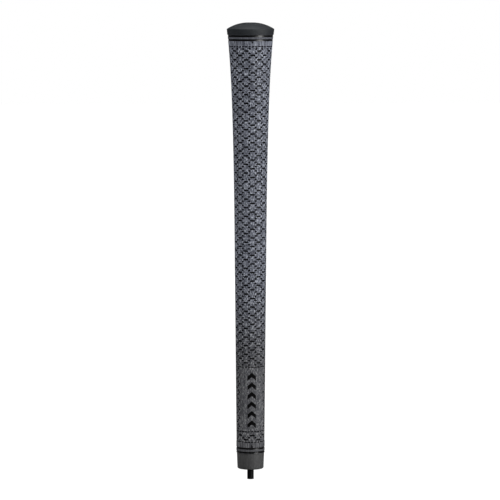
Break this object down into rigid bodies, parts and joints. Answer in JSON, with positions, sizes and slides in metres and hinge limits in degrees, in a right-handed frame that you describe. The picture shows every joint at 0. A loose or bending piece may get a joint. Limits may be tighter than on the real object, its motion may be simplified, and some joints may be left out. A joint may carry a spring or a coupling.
{
  "type": "golf club grip",
  "caption": "Slip-on corded rubber golf club grip: tapered tube with a domed vented cap, patterned panels, ring grooves and a plain mouth collar.",
  "frame": {"origin": "centre of the open mouth end's face", "axes": "+Z along the shaft's axis towards the capped end, -Y out of the plain front panel, +X to the right seen from the front"},
  "size_m": [0.0286, 0.0286, 0.2702],
  "materials": {
    "cap_rubber": "matt moulded",
    "tube_rubber": "matt",
    "cord_fabric": "woven cotton",
    "corded_rubber": "matt with embedded cord fibres",
    "collar_rubber": "matt moulded",
    "groove_paint": "gloss black paint fill"
  },
  "bodies": {
    "root": {"end_cap": "cap_rubber", "underlisting": "tube_rubber", "cord_sheet_front": "cord_fabric", "cord_sheet_back": "cord_fabric", "outer_panel_front": "corded_rubber", "outer_panel_back": "corded_rubber", "mouth_collar": "collar_rubber", "upper_ring_1": "groove_paint", "upper_ring_2": "groove_paint", "lower_ring_1": "groove_paint", "lower_ring_2": "groove_paint", "upper_index_tick": "groove_paint", "lower_index_tick": "groove_paint", "panel_mark_1": "groove_paint", "panel_mark_2": "groove_paint", "panel_mark_3": "groove_paint", "panel_mark_4": "groove_paint", "panel_mark_5": "groove_paint", "panel_mark_6": "groove_paint"}
  },
  "joints": []
}
